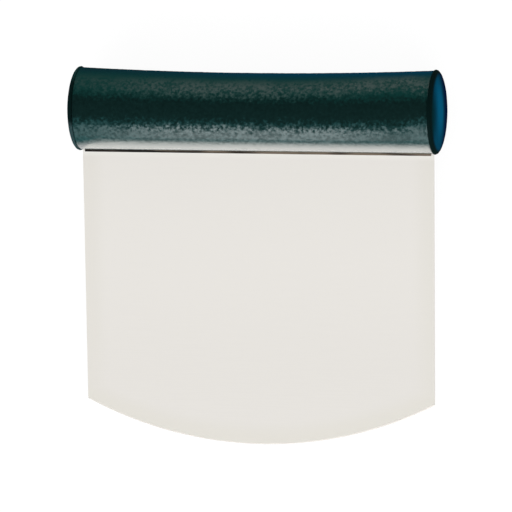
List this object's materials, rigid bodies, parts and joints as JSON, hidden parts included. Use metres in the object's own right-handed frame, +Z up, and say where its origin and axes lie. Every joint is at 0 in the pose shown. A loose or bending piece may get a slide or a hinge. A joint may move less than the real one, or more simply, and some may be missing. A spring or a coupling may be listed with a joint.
{
  "type": "dough scraper",
  "caption": "Dough scraper with a straight-sided steel blade, a bowed lower edge, and a round grained grip along its top with smooth end caps.",
  "frame": {"origin": "middle of the scraper's bounding box, at the table on which it lies", "axes": "+X along the grip, +Y from the blade towards the grip, +Z up from the table; the blade's front face looks up and the blade leans down to its edge"},
  "size_m": [0.127, 0.1259, 0.0282],
  "materials": {
    "blade_steel": "satin, fine brushing",
    "grip_plastic": "fine pebbled grain, semi-gloss",
    "cap_plastic": "smooth moulded",
    "core_plastic": "as moulded",
    "pin_steel": "drawn",
    "seal_rubber": "matt"
  },
  "bodies": {
    "root": {"blade": "blade_steel", "grip_sleeve": "grip_plastic", "end_cap_left": "cap_plastic", "end_cap_right": "cap_plastic", "handle_core": "core_plastic", "tang_pin_left": "pin_steel", "tang_pin_middle": "pin_steel", "tang_pin_right": "pin_steel", "seal_strip_front": "seal_rubber", "seal_strip_back": "seal_rubber"}
  },
  "joints": []
}
